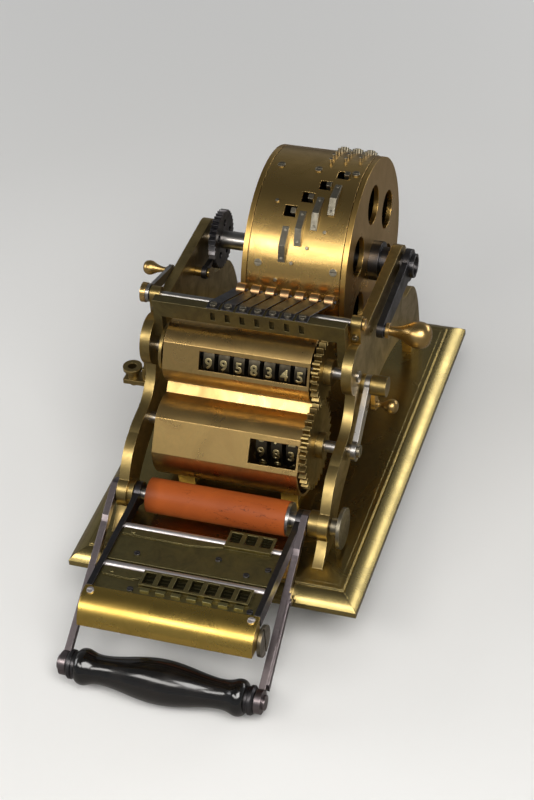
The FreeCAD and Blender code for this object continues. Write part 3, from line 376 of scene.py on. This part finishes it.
# Directions of the tool marks: across an axis along X, or along it
ACROSS = (1.0, 0.03, 0.03)
ALONG = (0.03, 1.0, 1.0)
MATERIALS = {
    "bright_brass": metal("BrightBrass", (0.70, 0.46, 0.175), (0.35, 0.24, 0.09), (0.24, 0.42),
                          patch=38.0, contrast=2.8, marks=ALONG),
    # The drum's inside, within its inner radius, gets painted shade
    "drum_brass": metal("DrumBrass", (0.74, 0.48, 0.165), (0.42, 0.28, 0.09), (0.20, 0.34),
                        patch=30.0, marks=ACROSS, mark_scale=1400.0,
                        shaded_hollows=((*DRUM_AXIS, DRUM_INNER_RADIUS),)),
    "drum_end_brass": metal("DrumEndBrass", (0.72, 0.455, 0.135), (0.46, 0.29, 0.09), (0.24, 0.38),
                            patch=26.0),
    "cover_brass": metal("CoverBrass", (0.74, 0.50, 0.12), (0.50, 0.335, 0.08), (0.22, 0.34), patch=40.0,
                         marks=ALONG),
    "aged_brass": metal("AgedBrass", (0.50, 0.36, 0.135), (0.20, 0.15, 0.06), (0.26, 0.46), patch=60.0),
    "base_brass": metal("BaseBrass", (0.52, 0.40, 0.15), (0.28, 0.22, 0.09), (0.18, 0.32), patch=22.0,
                        marks=ALONG),
    # Type plates and blocks: heavy painted shade in the cells, from a strong, far-reaching corner mask and
    # the cell lines
    "type_brass": metal("TypeBrass", (0.31, 0.26, 0.11), (0.13, 0.11, 0.05), (0.34, 0.52), patch=90.0,
                        edge_gain=0.9, shade_strength=0.97, reach=0.009),
    "block_brass": metal("BlockBrass", (0.38, 0.34, 0.15), (0.16, 0.14, 0.065), (0.34, 0.52), patch=120.0,
                         edge_gain=0.9, shaded_hollows=CELL_ROWS),
    "dull_brass": metal("DullBrass", (0.235, 0.19, 0.08), (0.11, 0.09, 0.045), (0.34, 0.55), patch=70.0),
    "bright_steel": metal("BrightSteel", (0.50, 0.48, 0.45), (0.27, 0.255, 0.24), (0.24, 0.42), patch=80.0,
                          marks=ACROSS),
    "rod_steel": metal("RodSteel", (0.78, 0.74, 0.74), (0.56, 0.52, 0.52), (0.34, 0.50), patch=60.0,
                       marks=ACROSS),
    "lever_steel": metal("LeverSteel", (0.30, 0.275, 0.215), (0.13, 0.115, 0.085), (0.42, 0.56),
                         patch=150.0),
    "screw_steel": metal("ScrewSteel", (0.34, 0.30, 0.22), (0.14, 0.125, 0.09), (0.30, 0.48), patch=200.0),
    "dark_steel": metal("DarkSteel", (0.13, 0.125, 0.13), (0.05, 0.047, 0.048), (0.26, 0.45), patch=70.0),
    "arm_steel": metal("ArmSteel", (0.33, 0.28, 0.285), (0.14, 0.12, 0.125), (0.26, 0.42), patch=60.0),
    "copper": metal("CopperPlate", (0.66, 0.41, 0.20), (0.40, 0.24, 0.11), (0.26, 0.42), patch=120.0),
    "wheel_metal": metal("WheelMetal", (0.09, 0.075, 0.05), (0.03, 0.026, 0.018), (0.32, 0.5), patch=120.0),
    "figure_brass": metal("FigureBrass", (0.70, 0.58, 0.30), (0.42, 0.33, 0.15), (0.25, 0.4), patch=300.0),
    "red_rubber": rubber("RollerRubber", (0.40, 0.088, 0.014), (0.25, 0.052, 0.010)),
    "black_wood": lacquered_wood("BlackWood", (0.003, 0.003, 0.003), (0.009, 0.007, 0.0055)),
}
BY_NODE = {"drum_shell": "drum_brass", "drum_ends": "drum_end_brass", "outer_arms": "arm_steel",
           "front_cover": "cover_brass", "frame_rods": "rod_steel", "drum_pins": "screw_steel",
           "frame_screws": "screw_steel", "thumb_disc": "screw_steel", "key_disc": "screw_steel",
           "type_plates": "type_brass", "type_blocks": "block_brass"}
BY_NODE.update({f"setting_lever_{k}": "lever_steel" for k in range(1, 5)})
slot_of = {entry["node"]: entry["material_slot"] for entry in frame["record"]["subparts"]}
for node_name, thing in nodes.items():
    chosen = MATERIALS[BY_NODE.get(node_name, slot_of[node_name])]
    thing.data.materials.clear()
    thing.data.materials.append(chosen)


# Raised figures round each register wheel
FIGURE_SIZE = 0.0106
FIGURE_RISE = 0.0004
FIGURE_BOLDNESS = 0.00022
FIGURE_CURVE_STEPS = 3
FIGURES_ROUND = 10
FIGURE_STEP_DEG = 360.0 / FIGURES_ROUND


def figure_mesh(character):
    bpy.ops.object.text_add(location=(0, 0, 0))
    text = bpy.context.object
    text.data.body = character
    text.data.align_x = "CENTER"
    text.data.align_y = "CENTER"
    text.data.size = FIGURE_SIZE
    text.data.extrude = FIGURE_RISE
    text.data.offset = FIGURE_BOLDNESS
    text.data.resolution_u = FIGURE_CURVE_STEPS
    bpy.ops.object.convert(target="MESH")
    mesh = bpy.context.object.data.copy()
    bpy.data.objects.remove(bpy.context.object, do_unlink=True)
    return mesh


FIGURES = {c: figure_mesh(c) for c in "0123456789"}


def wheel_figures(name, body, x, axis, shown, window_deg):
    """The ten raised figures of one wheel, wrapped round its rim, the shown one behind the window."""
    joined = bmesh.new()
    for step in range(FIGURES_ROUND):
        part = FIGURES[str((int(shown) + step) % FIGURES_ROUND)].copy()
        middle = math.radians(window_deg + FIGURE_STEP_DEG * step)
        for vertex in part.vertices:
            across, along, rise = vertex.co
            angle = middle - along / WHEEL_RADIUS
            radius = WHEEL_RADIUS + rise
            vertex.co = (x + across, axis[0] + radius * math.cos(angle), axis[1] + radius * math.sin(angle))
        joined.from_mesh(part)
        bpy.data.meshes.remove(part)
    mesh = bpy.data.meshes.new(name)
    joined.to_mesh(mesh)
    joined.free()
    thing = bpy.data.objects.new(name, mesh)
    bpy.context.collection.objects.link(thing)
    mesh.materials.append(MATERIALS["figure_brass"])
    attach(thing, body)
    return thing


for k, shown in enumerate(UPPER_FIGURES):
    wheel_figures(f"upper_figures_{k + 1}", f"upper_wheel_{k + 1}", FIRST_WHEEL_X + k * WHEEL_PITCH,
                  UPPER_AXIS, shown, UPPER_WINDOW_DEG)
for k, shown in enumerate(LOWER_FIGURES):
    wheel_x = FIRST_WHEEL_X + (k + LOWER_WHEELS_FROM) * WHEEL_PITCH
    wheel_figures(f"lower_figures_{k + 1}", f"lower_wheel_{k + 1}", wheel_x, LOWER_AXIS, shown,
                  LOWER_WINDOW_DEG)


# A plain dark disc inside the drum, behind the holes of its left end, standing in for the shade seen
# through them
DISC_RADIUS = 0.066
DISC_THICKNESS = 0.0012
DISC_INSET = 0.007
drum_left = min(vertex.co.x for vertex in nodes["drum_ends"].data.vertices)
bpy.ops.mesh.primitive_cylinder_add(
    vertices=128, radius=DISC_RADIUS, depth=DISC_THICKNESS, location=(drum_left + DISC_INSET, *DRUM_AXIS),
    rotation=(0.0, math.radians(90.0), 0.0))
shade_disc = bpy.context.object
shade_disc.name = "shade_disc"
bpy.ops.object.transform_apply(location=True, rotation=True, scale=True)
shade_disc.data.materials.append(MATERIALS["dark_steel"])
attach(shade_disc, "drum")


# Floor, pale near the part and white far from it, then light and camera
BLACK = (0.0, 0.0, 0.0)
WHITE = (1.0, 1.0, 1.0)
FLOOR_SIZE = 12.0
FLOOR_COLOUR = (0.82, 0.82, 0.81)
FLOOR_SEEN_IN_METAL = (0.22, 0.21, 0.20)
FLOOR_FADE_START = 0.5
FLOOR_FADE_END = 2.4
bpy.ops.mesh.primitive_plane_add(size=FLOOR_SIZE, location=(0, 0, cad_low[2]))
floor = bpy.context.object
floor.name = "floor"
paper = Shader("FloorPaper")
rays = paper.node("ShaderNodeLightPath")
tone = paper.blend(rays.outputs["Is Glossy Ray"], FLOOR_COLOUR, FLOOR_SEEN_IN_METAL)
from_object = paper.node("ShaderNodeVectorMath", operation="LENGTH")
paper.link(paper.place, from_object.inputs[0])
far = paper.node("ShaderNodeMath", operation="MULTIPLY")
paper.link(paper.ramp(from_object.outputs["Value"], FLOOR_FADE_START, FLOOR_FADE_END), far.inputs[0])
paper.link(rays.outputs["Is Camera Ray"], far.inputs[1])
paper.link(paper.blend(far.outputs[0], tone, BLACK), paper.body.inputs["Base Color"])
paper.link(paper.blend(far.outputs[0], BLACK, WHITE), paper.body.inputs["Emission Color"])
paper.body.inputs["Emission Strength"].default_value = 1.0
paper.body.inputs["Roughness"].default_value = 0.9
floor.data.materials.append(paper.material)

world = bpy.data.worlds.new("Studio")
bpy.context.scene.world = world
world.use_nodes = True
world_tree = world.node_tree
world_tree.nodes.clear()
world_out = world_tree.nodes.new("ShaderNodeOutputWorld")
pick = world_tree.nodes.new("ShaderNodeMixShader")
seen = world_tree.nodes.new("ShaderNodeBackground")
seen.inputs["Color"].default_value = (1.0, 1.0, 1.0, 1.0)
seen.inputs["Strength"].default_value = 1.0
lit = world_tree.nodes.new("ShaderNodeBackground")
lit.inputs["Color"].default_value = (0.93, 0.96, 1.0, 1.0)
heading = world_tree.nodes.new("ShaderNodeTexCoord")
height = world_tree.nodes.new("ShaderNodeSeparateXYZ")
fade = world_tree.nodes.new("ShaderNodeMapRange")
fade.inputs["To Min"].default_value = 0.27
fade.inputs["To Max"].default_value = 0.06
world_tree.links.new(heading.outputs["Generated"], height.inputs[0])
world_tree.links.new(height.outputs["Z"], fade.inputs["Value"])
world_tree.links.new(fade.outputs["Result"], lit.inputs["Strength"])
path = world_tree.nodes.new("ShaderNodeLightPath")
world_tree.links.new(path.outputs["Is Camera Ray"], pick.inputs["Fac"])
world_tree.links.new(lit.outputs[0], pick.inputs[1])
world_tree.links.new(seen.outputs[0], pick.inputs[2])
world_tree.links.new(pick.outputs[0], world_out.inputs["Surface"])


def softbox(name, place, target, size, watts, tint=WHITE):
    lamp = bpy.data.lights.new(name, "AREA")
    lamp.shape = "RECTANGLE"
    lamp.size, lamp.size_y = size
    lamp.energy = watts
    lamp.color = tint
    holder = bpy.data.objects.new(name, lamp)
    bpy.context.collection.objects.link(holder)
    holder.location = place
    aim = Vector(target) - Vector(place)
    holder.rotation_euler = aim.to_track_quat("-Z", "Y").to_euler()


softbox("key", (0.50, -0.85, 1.20), (0.0, 0.0, 0.05), (0.9, 0.8), 17.0, (1.0, 0.98, 0.95))
softbox("front_strip", (-0.45, -1.10, 1.08), (0.0, 0.0, 0.08), (1.1, 0.34), 7.5, (1.0, 0.97, 0.93))
softbox("left_fill", (-1.30, -0.30, 0.55), (0.0, -0.05, 0.05), (0.7, 0.6), 5.0)
softbox("back_rim", (0.85, 1.05, 0.45), (0.0, 0.0, 0.08), (0.9, 0.4), 4.0)

right = Vector((math.cos(CAMERA_AZIMUTH), math.sin(CAMERA_AZIMUTH), 0.0))
back = Vector((math.sin(CAMERA_AZIMUTH) * math.cos(CAMERA_ELEVATION),
               -math.cos(CAMERA_AZIMUTH) * math.cos(CAMERA_ELEVATION), math.sin(CAMERA_ELEVATION)))
up = back.cross(right)
rolled_right = right * math.cos(CAMERA_ROLL) + up * math.sin(CAMERA_ROLL)
rolled_up = up * math.cos(CAMERA_ROLL) - right * math.sin(CAMERA_ROLL)
lens = bpy.data.cameras.new("camera")
lens.lens = CAMERA_LENS
lens.sensor_width = 36.0
lens.clip_start = 0.01
camera = bpy.data.objects.new("camera", lens)
bpy.context.collection.objects.link(camera)
facing = Matrix((rolled_right, rolled_up, back)).transposed().to_4x4()
camera.matrix_world = Matrix.Translation(CAMERA_PLACE) @ facing
bpy.context.scene.camera = camera
bpy.context.scene.view_settings.view_transform = "Standard"
